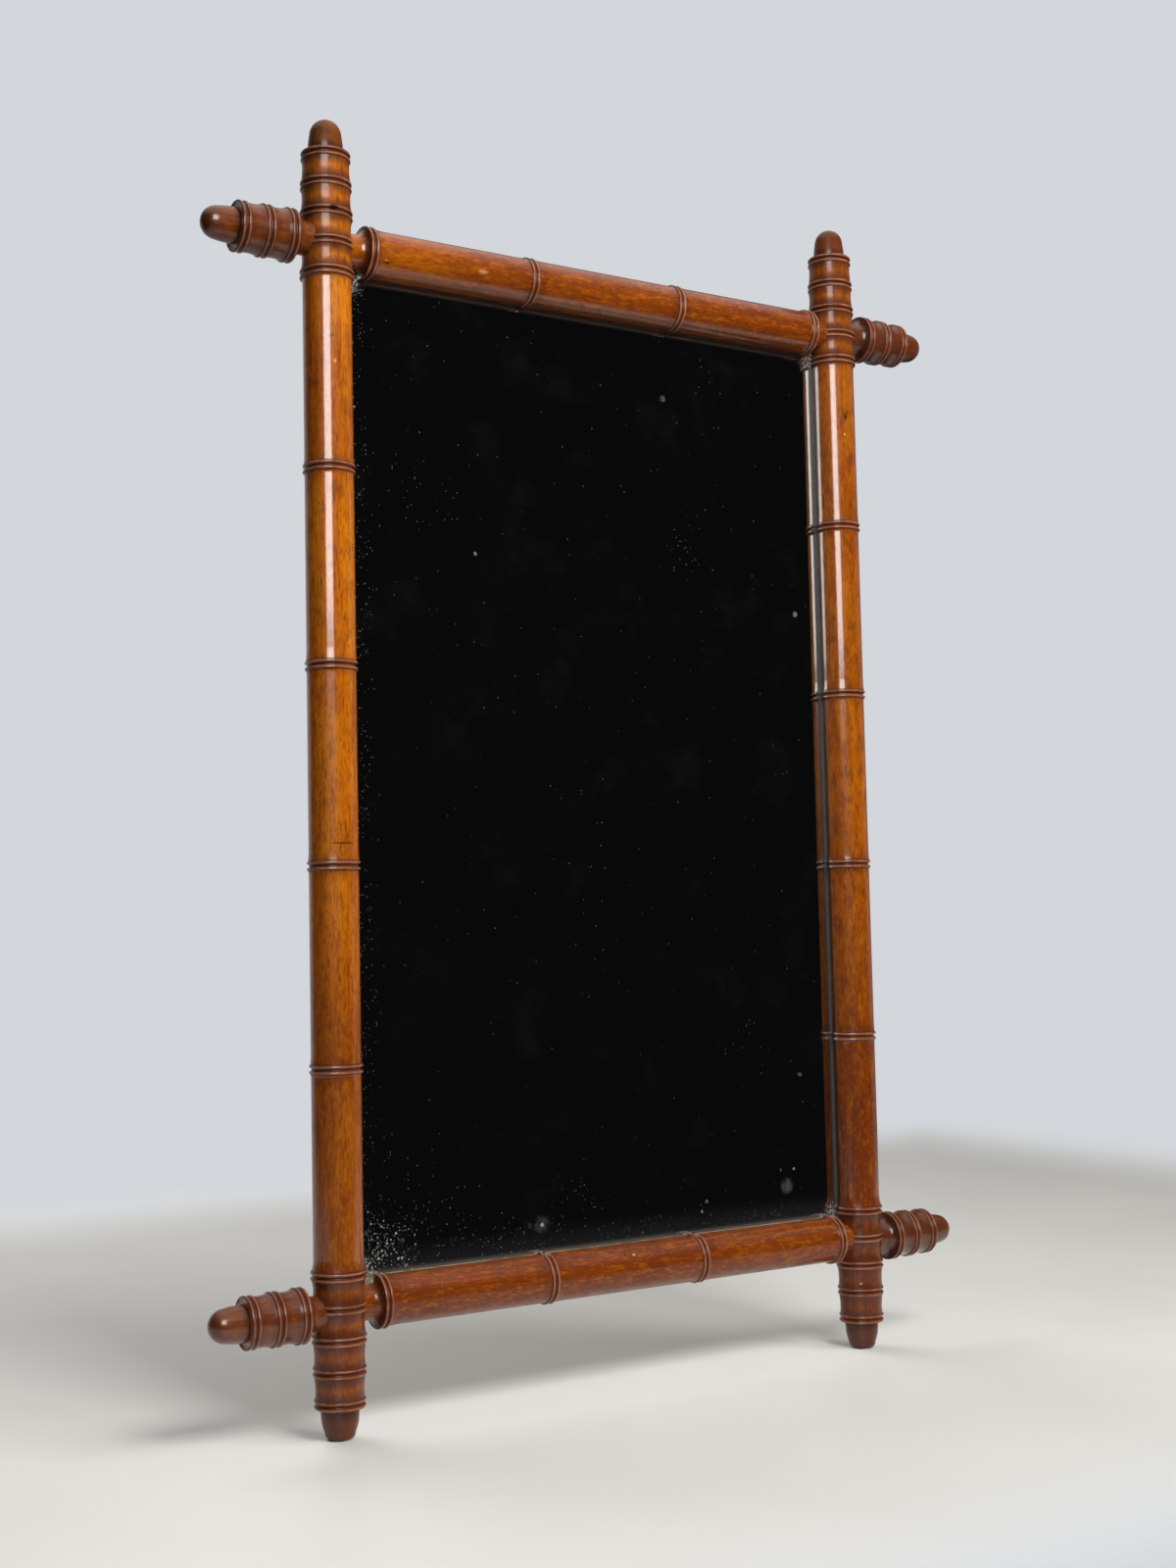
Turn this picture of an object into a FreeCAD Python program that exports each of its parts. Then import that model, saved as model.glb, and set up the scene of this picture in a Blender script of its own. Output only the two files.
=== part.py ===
import FreeCAD, Part
import math
import os

# Faux bamboo wall mirror: a ringed and turned frame, a silvered plate, a plank back and two hanging rings.
# Millimetres, +Z up, +X to the right seen from the front, +Y towards the wall.
# The origin is the middle of the plank back, on the wall plane.

# Frame layout
stile_spacing = 458.0
rail_spacing = 740.0
stile_internodes = 5
rail_internodes = 3
corner_ring_spacing = 21.4
side_ring_offset = 30.0
finial_ring_spacing = 17.9
finial_rise = 3.0

# Turned section: straight internodes, and rings of two lips with a groove between
body_d = 34.6
node_lip_d = 37.2
corner_lip_d = 38.6
lip_gap = 4.2
lip_width = 2.3
lip_round = 0.85
groove_depth = 1.7
flare_above = 8.0
flare_below = 2.2

# Ring and waist diameters beside the joints, as shares of corner_lip_d, from the joint outwards
stile_lip_shares = (1.0, 0.975, 0.95, 0.915)
stile_waist_shares = (0.9, 0.89, 0.865)
finial_lip_shares = (0.99, 0.96, 0.93)
finial_waist_shares = (0.89, 0.87)

# Ends of the turnings
tip_d = 25.2
tip_length = 24.4
tip_nose_r = 11.4
foot_d = 26.4
foot_length = 21.0
foot_straight = 3.0
foot_end_d = 21.2
foot_edge_r = 4.2
dish_depth = 1.2

# Necks, tenons and pegs
neck_d = 24.0
neck_flare = 7.0
tenon_d = 16.0
tenon_fit = 0.1
tenon_end_gap = 0.5
cope_fit = 0.05
peg_d = 4.0
peg_past_tenon = 2.2
peg_inset = 9.0
peg_fit = 0.05

# Mirror plate, held in a rebate by wedge blocks behind it
glass_set_back = 5.8
glass_thickness = 4.0
glass_room = 1.4
rebate_wall_in = 7.2
wedge_fit = 0.1
wedge_length = 26.0
wedge_reach = 9.0
wedge_place_shares = (-0.66, 0.0, 0.66)

# Plank back, nailed on the planed backs of the frame
board_thickness = 4.5
board_edge_in = 1.0
plank_count = 3
plank_gap = 0.5
plank_chamfer = 0.8
nail_d = 1.6
nail_length = 17.0
nail_head_d = 4.2
nail_head_height = 0.8
nail_sink = 0.2
nail_fit = 0.05
side_nail_shares = (-0.92, -0.46, 0.0, 0.46, 0.92)
plank_nail_shares = (-0.62, 0.62)

# Hanger posts and rings
hanger_rise = 4.5
post_collar_d = 8.4
post_collar_height = 1.5
post_neck_d = 4.6
post_shank_d = 3.6
post_shank_length = 14.0
post_shank_fit = 0.05
post_eye_d = 7.4
post_eye_width = 3.2
ring_wire_d = 2.6
ring_mean_d = 20.0
ring_eye_fit = 0.4
ring_board_gap = 0.7

# How far a cutting tool runs past what it cuts
overrun = 10.0

# Worked out from the sizes above
corner_lip_r = corner_lip_d / 2
ring_half = (lip_gap + lip_width) / 2
axis_y = -corner_lip_r
back_y = -board_thickness
glass_front_y = axis_y + glass_set_back
glass_back_y = glass_front_y + glass_thickness
stile_x = stile_spacing / 2
rail_z = rail_spacing / 2
finial_z = rail_z + finial_rise
inboard_ring_z = rail_z - corner_ring_spacing
stile_internode = 2 * inboard_ring_z / stile_internodes
rail_end_ring_x = stile_x - side_ring_offset
rail_internode = 2 * rail_end_ring_x / rail_internodes
neck_root = body_d / 4
peg_length = back_y - axis_y + tenon_d / 2 + peg_past_tenon
hanger_x = rail_internode
hanger_z = rail_z + hanger_rise
ring_y = ring_board_gap + ring_wire_d / 2

ORIGIN = FreeCAD.Vector(0, 0, 0)
X_AXIS = FreeCAD.Vector(1, 0, 0)
Y_AXIS = FreeCAD.Vector(0, 1, 0)
Z_AXIS = FreeCAD.Vector(0, 0, 1)
FULL_TURN = 360
QUARTER_TURN = 90


class Outline:
    """Half of a turned outline, drawn as distance along the axis and radius, starting on the axis."""

    def __init__(self, along, allowance=0):
        self.allowance = allowance
        self.edges = []
        self.start = self.point(along, 0)
        self.here = self.start

    def point(self, along, radius):
        grown = radius + self.allowance if radius else 0
        return FreeCAD.Vector(grown, 0, along)

    def line(self, along, radius):
        end = self.point(along, radius)
        self.edges.append(Part.LineSegment(self.here, end).toShape())
        self.here = end

    def arc(self, mid, end):
        end = self.point(*end)
        self.edges.append(Part.Arc(self.here, self.point(*mid), end).toShape())
        self.here = end

    def solid(self):
        closing = Part.LineSegment(self.here, self.start).toShape()
        face = Part.Face(Part.Wire(self.edges + [closing]))
        return face.revolve(ORIGIN, Z_AXIS, FULL_TURN)


def bend_middle(level_end, far_end):
    """Middle of the arc that leaves level_end parallel to the axis and reaches far_end."""
    run = far_end[0] - level_end[0]
    rise = far_end[1] - level_end[1]
    radius = (run ** 2 + rise ** 2) / (2 * abs(rise))
    half_angle = math.atan2(abs(run), radius - abs(rise)) / 2
    along = level_end[0] + math.copysign(radius * math.sin(half_angle), run)
    across = level_end[1] + math.copysign(radius * (1 - math.cos(half_angle)), rise)
    return along, across


def ring(outline, along, lip_r):
    """Two lips and the groove between them, from foot to foot."""
    foot_r = lip_r - lip_round
    for side in (-1, 1):
        crest = along + side * lip_gap / 2
        if side > 0:
            outline.arc((along, lip_r - groove_depth), (crest - lip_width / 2, foot_r))
        outline.arc((crest, lip_r), (crest + lip_width / 2, foot_r))


def internode(outline, start_ring, end_ring):
    """Straight body between two rings, flared into their lips."""
    body_r = body_d / 2
    start_foot = outline_foot(start_ring, 1)
    end_foot = outline_foot(end_ring, -1)
    body_start = (start_foot[0] + flare_above, body_r)
    body_end = (end_foot[0] - flare_below, body_r)
    outline.arc(bend_middle(body_start, start_foot), body_start)
    outline.line(*body_end)
    outline.arc(bend_middle(body_end, end_foot), end_foot)


def waist(outline, start_ring, end_ring, waist_r):
    """Short hollow section between two rings."""
    middle = (start_ring[0] + end_ring[0]) / 2
    outline.arc((middle, waist_r), outline_foot(end_ring, -1))


def outline_foot(ring_place, side):
    """Where a ring's outer lip ends, on the given side of the ring."""
    along, lip_r = ring_place
    return along + side * ring_half, lip_r - lip_round


def dish_middle(rim, inner_r, depth):
    """Middle of the hollow between a rim and the thinner turning that stands in it."""
    return rim[0] + depth, (rim[1] + inner_r) / 2


def bullet_tip(outline, last_ring):
    """Rounded tip standing in a dished ring: a long side arc that runs into a nose arc."""
    rim = outline_foot(last_ring, 1)
    tip_r = tip_d / 2
    outline.arc(dish_middle(rim, tip_r, -dish_depth), (rim[0] - dish_depth, tip_r))
    outline.line(rim[0], tip_r)
    side_r = (tip_length ** 2 + tip_r ** 2 - 2 * tip_length * tip_nose_r) / (2 * (tip_r - tip_nose_r))
    nose = rim[0] + tip_length - tip_nose_r
    meet_angle = math.atan2(nose - rim[0], side_r - tip_r)
    meet = (nose + tip_nose_r * math.sin(meet_angle), tip_nose_r * math.cos(meet_angle))
    outline.arc(bend_middle((rim[0], tip_r), meet), meet)
    nose_angle = (meet_angle + math.pi / 2) / 2
    nose_middle = (nose + tip_nose_r * math.sin(nose_angle), tip_nose_r * math.cos(nose_angle))
    outline.arc(nose_middle, (nose + tip_nose_r, 0))


def foot(outline, first_ring):
    """Blunt foot with a flat end, drawn from the end up to its dished ring."""
    rim = outline_foot(first_ring, -1)
    end = rim[0] - foot_length
    end_r = foot_end_d / 2
    foot_r = foot_d / 2
    level = (rim[0] - foot_straight, foot_r)
    edge = (end + foot_edge_r, end_r)
    corner_share = 1 - math.sqrt(2) / 2
    corner = (end + foot_edge_r * corner_share, end_r - foot_edge_r * corner_share)
    outline.line(end, end_r - foot_edge_r)
    outline.arc(corner, edge)
    outline.arc(bend_middle(level, edge), level)
    outline.line(rim[0] + dish_depth, foot_r)
    outline.arc(dish_middle(rim, foot_r, dish_depth), rim)


def stile_rings():
    """Ring places of a stile from the foot up: five at each joint and plain nodes between."""
    lips = [share * corner_lip_r for share in stile_lip_shares]
    outward = [(rail_z + step * corner_ring_spacing, lip_r) for step, lip_r in enumerate(lips)]
    inboard = [(inboard_ring_z, corner_lip_r)]
    upper = inboard + outward
    lower = [(-along, lip_r) for along, lip_r in reversed(upper)]
    nodes = [(-inboard_ring_z + step * stile_internode, node_lip_d / 2) for step in range(1, stile_internodes)]
    return lower, nodes, upper


def stile_turning(allowance=0):
    lower, nodes, upper = stile_rings()
    waists = [share * corner_lip_r for share in (stile_waist_shares[0],) + stile_waist_shares]
    outline = Outline(outline_foot(lower[0], -1)[0] - foot_length, allowance)
    foot(outline, lower[0])
    ring(outline, *lower[0])
    for before, after, waist_r in zip(lower, lower[1:], reversed(waists)):
        waist(outline, before, after, waist_r)
        ring(outline, *after)
    plain = [lower[-1]] + nodes + [upper[0]]
    for before, after in zip(plain, plain[1:]):
        internode(outline, before, after)
        ring(outline, *after)
    for before, after, waist_r in zip(upper, upper[1:], waists):
        waist(outline, before, after, waist_r)
        ring(outline, *after)
    bullet_tip(outline, upper[-1])
    return outline.solid()


def flared_neck(outline, first_ring):
    """Neck of a rail or finial, from its root inside the stile, flared out into the first ring."""
    rim = outline_foot(first_ring, -1)
    level = (rim[0] - neck_flare, neck_d / 2)
    outline.line(outline.here.z, neck_d / 2)
    outline.line(*level)
    outline.arc(bend_middle(level, rim), rim)


def rail_turning():
    end_lip_r = finial_lip_shares[0] * corner_lip_r
    rings = [(-rail_end_ring_x + step * rail_internode, node_lip_d / 2) for step in range(rail_internodes + 1)]
    rings[0] = (-rail_end_ring_x, end_lip_r)
    rings[-1] = (rail_end_ring_x, end_lip_r)
    outline = Outline(neck_root - stile_x)
    flared_neck(outline, rings[0])
    ring(outline, *rings[0])
    for before, after in zip(rings, rings[1:]):
        internode(outline, before, after)
        ring(outline, *after)
    rim = outline_foot(rings[-1], 1)
    level = (rim[0] + neck_flare, neck_d / 2)
    outline.arc(bend_middle(level, rim), level)
    outline.line(stile_x - neck_root, neck_d / 2)
    outline.line(stile_x - neck_root, 0)
    return outline.solid()


def finial_turning():
    lips = [share * corner_lip_r for share in finial_lip_shares]
    waists = [share * corner_lip_r for share in finial_waist_shares]
    rings = [(side_ring_offset + step * finial_ring_spacing, lip_r) for step, lip_r in enumerate(lips)]
    outline = Outline(neck_root)
    flared_neck(outline, rings[0])
    ring(outline, *rings[0])
    for before, after, waist_r in zip(rings, rings[1:], waists):
        waist(outline, before, after, waist_r)
        ring(outline, *after)
    bullet_tip(outline, rings[-1])
    return outline.solid()


def placed(solid, turn, x, z):
    """A turning stood along Z, or laid along X by a quarter turn, on the frame's axis plane."""
    solid.rotate(ORIGIN, Y_AXIS, turn)
    solid.translate(FreeCAD.Vector(x, axis_y, z))
    return solid


def block(x_half, z_half, y_front, y_back, x=0, z=0):
    """A box given by its half sizes across and its front and back planes."""
    corner = FreeCAD.Vector(x - x_half, y_front, z - z_half)
    return Part.makeBox(2 * x_half, y_back - y_front, 2 * z_half, corner)


def rod_from_back(x, z, radius, y_back, length):
    """A round bar driven in from the back."""
    return Part.makeCylinder(radius, length, FreeCAD.Vector(x, y_back, z), -Y_AXIS)


def tenon(x_start, x_end, z):
    low = min(x_start, x_end)
    place = FreeCAD.Vector(low, axis_y, z)
    return Part.makeCylinder(tenon_d / 2 - tenon_fit, abs(x_end - x_start), place, X_AXIS)


def peg_places():
    return [(side * (stile_x - peg_inset), up * rail_z) for side in (-1, 1) for up in (-1, 1)]


def nail_places():
    """Nails up both stiles and along both rails, in the ledge between the rebate and the planks' edge."""
    ledge = (rebate_wall_in + board_edge_in) / 2
    nail_x = stile_x - ledge
    nail_z = rail_z - ledge
    board_half_z = rail_z - board_edge_in
    places = [(side * nail_x, share * board_half_z) for side in (-1, 1) for share in side_nail_shares]
    for x_mid, x_half in plank_spans():
        for share in plank_nail_shares:
            places += [(x_mid + share * x_half, up * nail_z) for up in (-1, 1)]
    return places


def plank_spans():
    """Middle and half width of each plank."""
    board_half_x = stile_x - board_edge_in
    pitch = (2 * board_half_x + plank_gap) / plank_count
    half = (pitch - plank_gap) / 2
    return [(-board_half_x + half + step * pitch, half) for step in range(plank_count)]


def wedge(turn, along, wall):
    """Three-sided block in the corner between the plate's back and the rebate's wall."""
    tip = FreeCAD.Vector(-wall, back_y - wedge_fit, along)
    heel = FreeCAD.Vector(-wall, glass_back_y + wedge_fit, along)
    toe = FreeCAD.Vector(wedge_reach - wall, glass_back_y + wedge_fit, along)
    face = Part.Face(Part.makePolygon([tip, heel, toe, tip]))
    solid = face.extrude(FreeCAD.Vector(0, 0, wedge_length))
    solid.translate(FreeCAD.Vector(0, 0, -wedge_length / 2))
    solid.rotate(ORIGIN, Y_AXIS, turn)
    return solid


def glass_wedges():
    """Glue blocks that hold the plate in its rebate, along all four edges."""
    wall_x = stile_x - rebate_wall_in - wedge_fit
    wall_z = rail_z - rebate_wall_in - wedge_fit
    wedges = []
    for side in (0, 2):
        for share in wedge_place_shares:
            wedges.append(wedge(side * QUARTER_TURN, share * wall_z, wall_x))
            wedges.append(wedge((side + 1) * QUARTER_TURN, share * wall_x, wall_z))
    return Part.makeCompound(wedges)


def nail(x, z):
    head_y = -nail_sink
    shank = rod_from_back(x, z, nail_d / 2, head_y, nail_length)
    head = rod_from_back(x, z, nail_head_d / 2, head_y, nail_head_height)
    return shank.fuse(head).removeSplitter()


def nail_holes(extra_head):
    """What the nails cut out of the wood: shanks, and head recesses where asked for."""
    cuts = []
    for x, z in nail_places():
        cuts.append(rod_from_back(x, z, nail_d / 2 + nail_fit, 0, nail_sink + nail_length + nail_fit))
        if extra_head:
            depth = nail_sink + nail_head_height
            cuts.append(rod_from_back(x, z, nail_head_d / 2 + nail_fit, 0, depth))
    return Part.makeCompound(cuts)


def plank(x_mid, x_half):
    z_half = rail_z - board_edge_in
    board = block(x_half, z_half, back_y, 0, x_mid)
    arrises = [edge for edge in board.Edges if all(abs(v.Y) < plank_chamfer for v in edge.Vertexes)]
    return board.makeChamfer(plank_chamfer, arrises).cut(nail_holes(True))


def hanger_post(side):
    """Screw with a collar and a flat drilled head, standing in the planed back of the top rail."""
    x = side * hanger_x
    shank = rod_from_back(x, hanger_z, post_shank_d / 2, back_y, post_shank_length)
    collar = rod_from_back(x, hanger_z, post_collar_d / 2, back_y + post_collar_height, post_collar_height)
    neck = rod_from_back(x, hanger_z, post_neck_d / 2, ring_y, ring_y - back_y)
    eye_start = FreeCAD.Vector(x - post_eye_width / 2, ring_y, hanger_z)
    eye = Part.makeCylinder(post_eye_d / 2, post_eye_width, eye_start, X_AXIS)
    hole_start = FreeCAD.Vector(x - overrun, ring_y, hanger_z)
    hole = Part.makeCylinder(ring_wire_d / 2 + ring_eye_fit, 2 * overrun, hole_start, X_AXIS)
    flats = post_flats(x)
    return shank.fuse([collar, neck.common(flats), eye]).removeSplitter().cut(hole)


def post_flats(x):
    """The space between the two flats filed on a post's neck, as wide as its eye."""
    return block(post_eye_width / 2, post_neck_d, back_y, ring_y + overrun, x, hanger_z)


def hanger_ring(side):
    """Ring hanging straight down in its post's eye."""
    centre = FreeCAD.Vector(side * hanger_x, ring_y, hanger_z - ring_mean_d / 2)
    return Part.makeTorus(ring_mean_d / 2, ring_wire_d / 2, centre, Y_AXIS)


def frame_cuts():
    """What is cut from the frame behind: the planed back, the rebate, and pilot holes."""
    far_x = 2 * stile_x
    far_z = 2 * rail_z
    planed = block(far_x, far_z, back_y, overrun)
    rebate = block(stile_x - rebate_wall_in, rail_z - rebate_wall_in, glass_front_y, overrun)
    pegs = [rod_from_back(x, z, peg_d / 2 + peg_fit, overrun, overrun - back_y + peg_length + peg_fit)
            for x, z in peg_places()]
    posts = [rod_from_back(side * hanger_x, hanger_z, post_shank_d / 2 + post_shank_fit,
                           overrun, overrun - back_y + post_shank_length + post_shank_fit)
             for side in (-1, 1)]
    return [planed, rebate] + pegs + posts


def stile(side):
    solid = placed(stile_turning(), 0, side * stile_x, 0)
    mortises = []
    for up in (-1, 1):
        for out, z in ((-side, rail_z), (side, finial_z)):
            start = FreeCAD.Vector(side * stile_x, axis_y, up * z)
            mortises.append(Part.makeCylinder(tenon_d / 2, body_d, start, out * X_AXIS))
    return solid.cut(mortises + frame_cuts() + nail_holes(False).Solids)


def copes():
    return [placed(stile_turning(cope_fit), 0, side * stile_x, 0) for side in (-1, 1)]


def rail(up):
    z = up * rail_z
    solid = placed(rail_turning(), QUARTER_TURN, 0, z).cut(copes())
    root = stile_x - side_ring_offset
    tenons = [tenon(side * root, side * (stile_x - tenon_end_gap), z) for side in (-1, 1)]
    return solid.fuse(tenons).removeSplitter().cut(frame_cuts() + nail_holes(False).Solids)


def finial(side, up):
    z = up * finial_z
    solid = placed(finial_turning(), side * QUARTER_TURN, side * stile_x, z).cut(copes())
    inner = side * (stile_x + tenon_end_gap)
    return solid.fuse(tenon(inner, side * (stile_x + side_ring_offset), z)).removeSplitter()


def mirror_glass():
    edge_in = rebate_wall_in + glass_room
    return block(stile_x - edge_in, rail_z - edge_in, glass_front_y, glass_back_y)


def pieces():
    """Every piece of the mirror by name."""
    made = {
        "left_stile": stile(-1),
        "right_stile": stile(1),
        "top_rail": rail(1),
        "bottom_rail": rail(-1),
        "finial_top_left": finial(-1, 1),
        "finial_top_right": finial(1, 1),
        "finial_bottom_left": finial(-1, -1),
        "finial_bottom_right": finial(1, -1),
        "mirror_glass": mirror_glass(),
        "glass_wedges": glass_wedges(),
        "tenon_pegs": Part.makeCompound([rod_from_back(x, z, peg_d / 2, back_y, peg_length)
                                         for x, z in peg_places()]),
        "back_nails": Part.makeCompound([nail(x, z) for x, z in nail_places()]),
        "hanger_post_left": hanger_post(-1),
        "hanger_post_right": hanger_post(1),
        "hanger_ring_left": hanger_ring(-1),
        "hanger_ring_right": hanger_ring(1),
    }
    for name, (x_mid, x_half) in zip(("left", "middle", "right"), plank_spans()):
        made["back_plank_" + name] = plank(x_mid, x_half)
    return made


os.makedirs("parts", exist_ok=True)
for node, shape in pieces().items():
    shape.exportStep("parts/" + node + ".step")
    print(node, len(shape.Solids), "solids,", round(shape.Volume), "mm3, valid", shape.isValid())
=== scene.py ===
import math

import bpy
from mathutils import Matrix, Vector


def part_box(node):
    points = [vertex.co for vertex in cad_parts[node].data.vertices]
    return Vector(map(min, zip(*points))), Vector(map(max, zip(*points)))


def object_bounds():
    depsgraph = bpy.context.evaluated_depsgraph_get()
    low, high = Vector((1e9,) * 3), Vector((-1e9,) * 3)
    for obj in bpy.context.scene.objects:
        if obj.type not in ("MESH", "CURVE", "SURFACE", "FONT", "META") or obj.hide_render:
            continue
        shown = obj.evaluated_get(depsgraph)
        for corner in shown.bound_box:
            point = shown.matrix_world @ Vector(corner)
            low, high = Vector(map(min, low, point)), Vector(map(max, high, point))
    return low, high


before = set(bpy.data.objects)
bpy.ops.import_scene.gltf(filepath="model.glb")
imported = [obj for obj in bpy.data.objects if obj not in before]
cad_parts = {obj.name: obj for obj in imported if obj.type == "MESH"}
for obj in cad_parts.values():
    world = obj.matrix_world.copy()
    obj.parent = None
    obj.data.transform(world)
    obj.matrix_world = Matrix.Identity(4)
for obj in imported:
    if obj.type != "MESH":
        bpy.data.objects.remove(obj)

# Looks of the faux bamboo mirror: stained and varnished turnings, a foxed silvered plate,
# an aged plank back, iron nails and brass hangers. Metres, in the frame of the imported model.

cad_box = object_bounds()

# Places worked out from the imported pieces
stile_low, stile_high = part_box("left_stile")
rail_low, rail_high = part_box("top_rail")
glass_front_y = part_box("mirror_glass")[0].y
planed_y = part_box("back_plank_middle")[0].y
turned_d = stile_high.x - stile_low.x
axis_y = stile_low.y + turned_d / 2
stile_x = -(stile_low.x + stile_high.x) / 2
rail_z = (rail_low.z + rail_high.z) / 2
finial_end_x = cad_box[1].x
floor_z = cad_box[0].z

# Ring places on the turnings
corner_ring_spacing = 0.0214
side_ring_offset = 0.030
finial_ring_spacing = 0.0179
stile_internodes = 5
rail_internodes = 3
stile_corner_rings = 5
finial_rings = 3
inboard_ring_z = rail_z - corner_ring_spacing
stile_internode = 2 * inboard_ring_z / stile_internodes
rail_internode = 2 * (stile_x - side_ring_offset) / rail_internodes
lip_gap = 0.0042
lip_width = 0.0023
groove_half = (lip_gap - lip_width) / 2
lip_outer = (lip_gap + lip_width) / 2

# Reach of the colour along the turnings; reach of the stain round the rings, at the corners and at the tips;
# reach of the painted shade and stain in the flares
colour_run = 0.32
ring_stain_near = 0.001
ring_stain_far = 0.012
ring_stain_ragged = 0.006
corner_stain_before = 0.006
corner_stain_past = 0.004
tip_stain_start = 0.026
tip_stain_full = 0.020
flare_shade_and_stain_lap = 0.0002
flare_shade_and_stain_near = 0.0004
flare_shade_and_stain_far = 0.0036
lip_stain_fade = 0.0012
foot_stain_half = 0.0008
end_grain_start = 0.010
end_grain_full = 0.002
back_skin_start = 0.0006
back_skin_full = 0.0001

# Varnish: the share of it left at the stiles' corners, and the depth of its relief
corner_coat = 0.34
varnish_relief = 0.0006

# Painted shade and dirt where the turnings meet the plate, and dust: depths behind the axes, margins,
# heights over the lower rail's axis, reach along a neck
contact_shade_start = 0.0004
contact_shade_full = 0.0012
olive_start = 0.0036
olive_full = 0.0050
contact_back_margin = 0.001
contact_rail_margin = 0.002
dust_depth_start = 0.0028
dust_depth_full = 0.0052
dust_start_share = 0.27
dust_full_share = 0.33
neck_dust_low = 0.005
neck_dust_high = 0.010
neck_dust_half_depth = 0.003
neck_dust_run = 0.004

# Wear of the plate: reach from its edges, depth of the silvered face, a length past its thickness, patches
thick_foxing_near = 0.014
thick_foxing_far = 0.058
thin_foxing_near = 0.03
thin_foxing_far = 0.11
edge_foxing_reach = 0.022
rim_under_frame = 0.002
rim_dust_reach = 0.003
low_haze_reach = 0.020
nook_near = 0.003
nook_far = 0.015
silver_skin_full = 0.0002
silver_skin_end = 0.0006
through_plate = 1.0
wiped_patch = 0.05
spot_flake = 0.003
dust_flake = 0.0022

# Figure of the bare pine along X, Y and Z, depth of its relief, and patches of rust and tarnish
pine_rings = (0.011, 0.011, 0.32)
pine_lines = (0.0016, 0.0016, 0.09)
pine_stains = (0.09, 0.09, 0.14)
pine_relief = 0.0005
rust_patch = 0.0015
tarnish_patch = 0.004

# The camera, from a fit to the turnings in the photograph
image_height_px = 1600
focal_px = 1942.5
sensor_mm = 36.0
camera_place = Vector((-0.7756, -1.2351, -0.1108))
camera_heading_deg = 31.862
camera_pitch_deg = 4.085
camera_roll_deg = 1.223
camera_near = 0.01
camera_far = 50

# The floor and the room
floor_half_width = 1.5
floor_front = -0.55
floor_back = 1.3
floor_feather = 0.45
front_feather = 0.25
floor_patch = 0.3
backdrop_colour = (211, 214, 219)
floor_colour = (238, 239, 235)
worn_floor_colour = (233, 234, 230)
room_dark = (15, 15, 15)
wall_glow = (176, 178, 180)
side_glow = (132, 130, 126)
ceiling_glow = (255, 252, 248)
room_fill = (62, 62, 63)

# Lamps: place, aim, width, height, watts, and whether it shows in the varnish or else lights the surfaces
lamps = {
    "window": ((-0.98, -1.50, 0.84), (0.0, 0.0, 0.30), 0.95, 1.00, 36, True),
    "key": ((0.02, -1.15, 0.80), (0.0, 0.0, 0.10), 0.55, 0.55, 18.5, False),
    "fill_right": ((1.3, -1.6, 1.3), (0.0, 0.0, 0.0), 1.0, 1.0, 26, False),
    "fill_back": ((-0.6, 2.0, 1.3), (-0.3, 0.0, -0.3), 1.8, 1.8, 34, False),
}
lamp_colour = (1.0, 0.98, 0.96)


def tone(red, green, blue):
    """A colour given by its screen levels from 0 to 255, as linear light."""
    linear = []
    for level in (red, green, blue):
        share = level / 255
        low = share <= 0.04045
        linear.append(share / 12.92 if low else ((share + 0.055) / 1.055) ** 2.4)
    return (*linear, 1)


# Colours of the stain, the worn places and the dirt, and those used for painted shade and painted highlights
amber = tone(186, 98, 4)
honey = tone(200, 116, 14)
chestnut = tone(138, 62, 3)
red_brown = tone(104, 43, 9)
dark_ring = tone(84, 34, 13)
deep_brown = tone(78, 38, 22)
ring_brown = tone(110, 56, 32)
# Near black of the grooves, also used for the painted shade in the necks' flares and where the turnings meet
# the plate
groove_black = tone(44, 17, 8)
contact_olive = tone(70, 60, 44)
# Paler ring crests, partly worn wood and partly a painted highlight; also one pale knock on the top rail
crest_highlight_and_wear_colour = tone(176, 114, 80)
old_dust = tone(206, 190, 156)
bare_pine = tone(172, 128, 78)
chip_pale = tone(206, 160, 108)
nick_dark = tone(34, 14, 8)

# Noises of the wood's figure: length across the grain and along it, detail, roughness and shift
figure_noises = {
    "broad": (0.016, 0.16, 4.0, 0.6, (0, 0, 0)),
    "streaks": (0.0035, 0.09, 4.0, 0.65, (3, 1, 7)),
    "pores": (0.0011, 0.013, 2.0, 0.5, (5, 2, 4)),
    "flakes": (0.0046, 0.018, 3.0, 0.6, (1, 6, 8)),
    "mottle": (0.010, 0.014, 3.0, 0.6, (9, 4, 2)),
    "flecks": (0.0016, 0.0050, 3.0, 0.6, (6, 3, 1)),
    "patches": (0.07, 0.10, 2.0, 0.5, (2, 8, 5)),
}
# Figure laid over the ground: noise, its levels, the shares of colour at those levels, and the colour
figure_layers = (
    ("streaks", 0.48, 0.70, 0.0, 0.75, chestnut),
    ("flakes", 0.34, 0.48, 0.22, 0.0, honey),
    ("flakes", 0.52, 0.68, 0.0, 0.40, red_brown),
    ("flecks", 0.34, 0.47, 0.26, 0.0, honey),
    ("flecks", 0.52, 0.66, 0.0, 0.50, red_brown),
    ("pores", 0.58, 0.70, 0.0, 0.60, dark_ring),
)

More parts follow.
